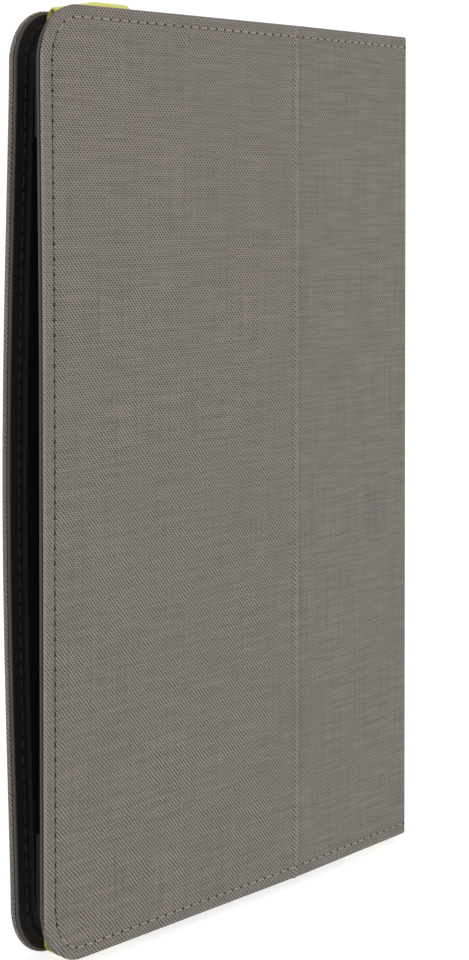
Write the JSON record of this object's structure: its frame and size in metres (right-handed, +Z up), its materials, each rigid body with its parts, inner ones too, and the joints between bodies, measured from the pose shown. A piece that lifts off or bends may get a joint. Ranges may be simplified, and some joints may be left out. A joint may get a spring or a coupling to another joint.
{
  "type": "tablet keyboard case",
  "caption": "Upright folio case for a tablet: cloth-covered hinged cover with a fold crease, corner grips on lime elastic, and a slim removable keyboard.",
  "frame": {"origin": "middle of the case's footprint, on the surface it stands on", "axes": "+Z up along the spine (longest), +Y from the front cover to the back cover (shortest), +X from the free edge to the spine"},
  "size_m": [0.1963, 0.02, 0.2695],
  "materials": {
    "cover_cloth": "woven linen-look grey cloth",
    "lining_cloth": "smooth dark lining cloth",
    "cover_board": "pressed fibre board, hidden",
    "holder_plastic": "black, fine matt grain",
    "grip_rubber": "black, soft matt",
    "lime_elastic": "ribbed woven elastic, lime yellow",
    "keyboard_plastic": "black, fine matt grain",
    "keycap_plastic": "black, smooth matt",
    "plate_steel": "brushed",
    "magnet_metal": "plated, hidden",
    "circuit_board": "green laminate, hidden",
    "membrane_film": "clear film, hidden",
    "dome_rubber": "grey rubber, hidden",
    "battery_foil": "foil pouch, hidden",
    "light_lens": "clear frosted"
  },
  "bodies": {
    "back_cover": {"back_cover_fabric": "cover_cloth", "back_cover_board": "cover_board", "back_cover_lining": "lining_cloth", "holder_plate": "holder_plastic", "elastic_loop_free_bottom": "lime_elastic", "elastic_loop_free_top": "lime_elastic", "elastic_loop_spine_bottom": "lime_elastic", "elastic_loop_spine_top": "lime_elastic"},
    "spine": {"spine_fabric": "cover_cloth", "spine_board": "cover_board", "spine_lining": "lining_cloth"},
    "fold_panel": {"fold_panel_fabric": "cover_cloth", "fold_panel_board": "cover_board", "fold_panel_lining": "lining_cloth"},
    "front_panel": {"front_panel_fabric": "cover_cloth", "front_panel_board": "cover_board", "front_panel_lining": "lining_cloth", "cover_magnets": "magnet_metal"},
    "keyboard": {"keyboard_bottom_shell": "keyboard_plastic", "keyboard_top_frame": "keyboard_plastic", "key_backplate": "plate_steel", "membrane_circuit": "membrane_film", "dome_sheet": "dome_rubber", "main_circuit_board": "circuit_board", "battery_cell": "battery_foil", "usb_socket": "plate_steel", "status_light": "light_lens", "keyboard_magnets": "magnet_metal", "keyboard_feet": "grip_rubber", "case_screws": "plate_steel"},
    "power_switch": {"power_switch_knob": "keyboard_plastic"},
    "pair_button": {"pair_button": "keyboard_plastic"},
    "corner_grip_free_bottom": {"corner_grip_free_bottom": "grip_rubber"},
    "corner_grip_free_top": {"corner_grip_free_top": "grip_rubber"},
    "corner_grip_spine_bottom": {"corner_grip_spine_bottom": "grip_rubber"},
    "corner_grip_spine_top": {"corner_grip_spine_top": "grip_rubber"},
    "modifier_keys": {"modifier_keys": "keycap_plastic"},
    "space_bar": {"space_bar": "keycap_plastic"},
    "left_arrow_key": {"left_arrow_key": "keycap_plastic"},
    "down_arrow_key": {"down_arrow_key": "keycap_plastic"},
    "right_arrow_key": {"right_arrow_key": "keycap_plastic"},
    "up_arrow_key": {"up_arrow_key": "keycap_plastic"},
    "left_shift_key": {"left_shift_key": "keycap_plastic"},
    "right_shift_key": {"right_shift_key": "keycap_plastic"},
    "lower_letter_keys": {"lower_letter_keys": "keycap_plastic"},
    "middle_letter_keys": {"middle_letter_keys": "keycap_plastic"},
    "upper_letter_keys": {"upper_letter_keys": "keycap_plastic"},
    "caps_lock_key": {"caps_lock_key": "keycap_plastic"},
    "enter_key": {"enter_key": "keycap_plastic"},
    "tab_key": {"tab_key": "keycap_plastic"},
    "number_keys": {"number_keys": "keycap_plastic"},
    "backspace_key": {"backspace_key": "keycap_plastic"},
    "function_keys": {"function_keys": "keycap_plastic"}
  },
  "joints": [
    {"name": "spine_hinge", "type": "hinge", "parent": "back_cover", "child": "spine", "pos_m": [0.0982, 0.01, 0.1332], "axis": [0, 0, 1], "range_deg": [0, 135]},
    {"name": "front_hinge", "type": "hinge", "parent": "spine", "child": "fold_panel", "pos_m": [0.09016, -0.0076, 0.1332], "axis": [0, 0, 1], "range_deg": [0, 180]},
    {"name": "crease_hinge", "type": "hinge", "parent": "fold_panel", "child": "front_panel", "pos_m": [0.0248, -0.01, 0.135], "axis": [0, 0, 1], "range_deg": [0, 60]},
    {"name": "keyboard_release", "type": "slide", "parent": "front_panel", "child": "keyboard", "axis": [-1, 0, 0], "range_m": [0, 0.13]},
    {"name": "corner_grip_free_bottom_stretch", "type": "slide", "parent": "back_cover", "child": "corner_grip_free_bottom", "axis": [0, 0, -1], "range_m": [0, 0.005], "stiffness_N_per_m": 150, "springref_m": -0.003},
    {"name": "corner_grip_free_top_stretch", "type": "slide", "parent": "back_cover", "child": "corner_grip_free_top", "axis": [0, 0, 1], "range_m": [0, 0.005], "stiffness_N_per_m": 150, "springref_m": -0.003},
    {"name": "corner_grip_spine_bottom_stretch", "type": "slide", "parent": "back_cover", "child": "corner_grip_spine_bottom", "axis": [0, 0, -1], "range_m": [0, 0.005], "stiffness_N_per_m": 150, "springref_m": -0.003},
    {"name": "corner_grip_spine_top_stretch", "type": "slide", "parent": "back_cover", "child": "corner_grip_spine_top", "axis": [0, 0, 1], "range_m": [0, 0.005], "stiffness_N_per_m": 150, "springref_m": -0.003},
    {"name": "modifier_keys_press", "type": "slide", "parent": "keyboard", "child": "modifier_keys", "axis": [0, -1, 0], "range_m": [0, 0.0008], "stiffness_N_per_m": 600, "springref_m": -0.0003},
    {"name": "space_bar_press", "type": "slide", "parent": "keyboard", "child": "space_bar", "axis": [0, -1, 0], "range_m": [0, 0.0008], "stiffness_N_per_m": 600, "springref_m": -0.0003},
    {"name": "left_arrow_key_press", "type": "slide", "parent": "keyboard", "child": "left_arrow_key", "axis": [0, -1, 0], "range_m": [0, 0.0008], "stiffness_N_per_m": 600, "springref_m": -0.0003},
    {"name": "down_arrow_key_press", "type": "slide", "parent": "keyboard", "child": "down_arrow_key", "axis": [0, -1, 0], "range_m": [0, 0.0008], "stiffness_N_per_m": 600, "springref_m": -0.0003},
    {"name": "right_arrow_key_press", "type": "slide", "parent": "keyboard", "child": "right_arrow_key", "axis": [0, -1, 0], "range_m": [0, 0.0008], "stiffness_N_per_m": 600, "springref_m": -0.0003},
    {"name": "up_arrow_key_press", "type": "slide", "parent": "keyboard", "child": "up_arrow_key", "axis": [0, -1, 0], "range_m": [0, 0.0008], "stiffness_N_per_m": 600, "springref_m": -0.0003},
    {"name": "left_shift_key_press", "type": "slide", "parent": "keyboard", "child": "left_shift_key", "axis": [0, -1, 0], "range_m": [0, 0.0008], "stiffness_N_per_m": 600, "springref_m": -0.0003},
    {"name": "right_shift_key_press", "type": "slide", "parent": "keyboard", "child": "right_shift_key", "axis": [0, -1, 0], "range_m": [0, 0.0008], "stiffness_N_per_m": 600, "springref_m": -0.0003},
    {"name": "lower_letter_keys_press", "type": "slide", "parent": "keyboard", "child": "lower_letter_keys", "axis": [0, -1, 0], "range_m": [0, 0.0008], "stiffness_N_per_m": 600, "springref_m": -0.0003},
    {"name": "middle_letter_keys_press", "type": "slide", "parent": "keyboard", "child": "middle_letter_keys", "axis": [0, -1, 0], "range_m": [0, 0.0008], "stiffness_N_per_m": 600, "springref_m": -0.0003},
    {"name": "upper_letter_keys_press", "type": "slide", "parent": "keyboard", "child": "upper_letter_keys", "axis": [0, -1, 0], "range_m": [0, 0.0008], "stiffness_N_per_m": 600, "springref_m": -0.0003},
    {"name": "caps_lock_key_press", "type": "slide", "parent": "keyboard", "child": "caps_lock_key", "axis": [0, -1, 0], "range_m": [0, 0.0008], "stiffness_N_per_m": 600, "springref_m": -0.0003},
    {"name": "enter_key_press", "type": "slide", "parent": "keyboard", "child": "enter_key", "axis": [0, -1, 0], "range_m": [0, 0.0008], "stiffness_N_per_m": 600, "springref_m": -0.0003},
    {"name": "tab_key_press", "type": "slide", "parent": "keyboard", "child": "tab_key", "axis": [0, -1, 0], "range_m": [0, 0.0008], "stiffness_N_per_m": 600, "springref_m": -0.0003},
    {"name": "number_keys_press", "type": "slide", "parent": "keyboard", "child": "number_keys", "axis": [0, -1, 0], "range_m": [0, 0.0008], "stiffness_N_per_m": 600, "springref_m": -0.0003},
    {"name": "backspace_key_press", "type": "slide", "parent": "keyboard", "child": "backspace_key", "axis": [0, -1, 0], "range_m": [0, 0.0008], "stiffness_N_per_m": 600, "springref_m": -0.0003},
    {"name": "function_keys_press", "type": "slide", "parent": "keyboard", "child": "function_keys", "axis": [0, -1, 0], "range_m": [0, 0.0008], "stiffness_N_per_m": 600, "springref_m": -0.0003},
    {"name": "pair_button_press", "type": "slide", "parent": "keyboard", "child": "pair_button", "axis": [0, -1, 0], "range_m": [0, 0.0005], "stiffness_N_per_m": 800, "springref_m": -0.0003},
    {"name": "power_switch_slide", "type": "slide", "parent": "keyboard", "child": "power_switch", "axis": [1, 0, 0], "range_m": [0, 0.0028]}
  ]
}
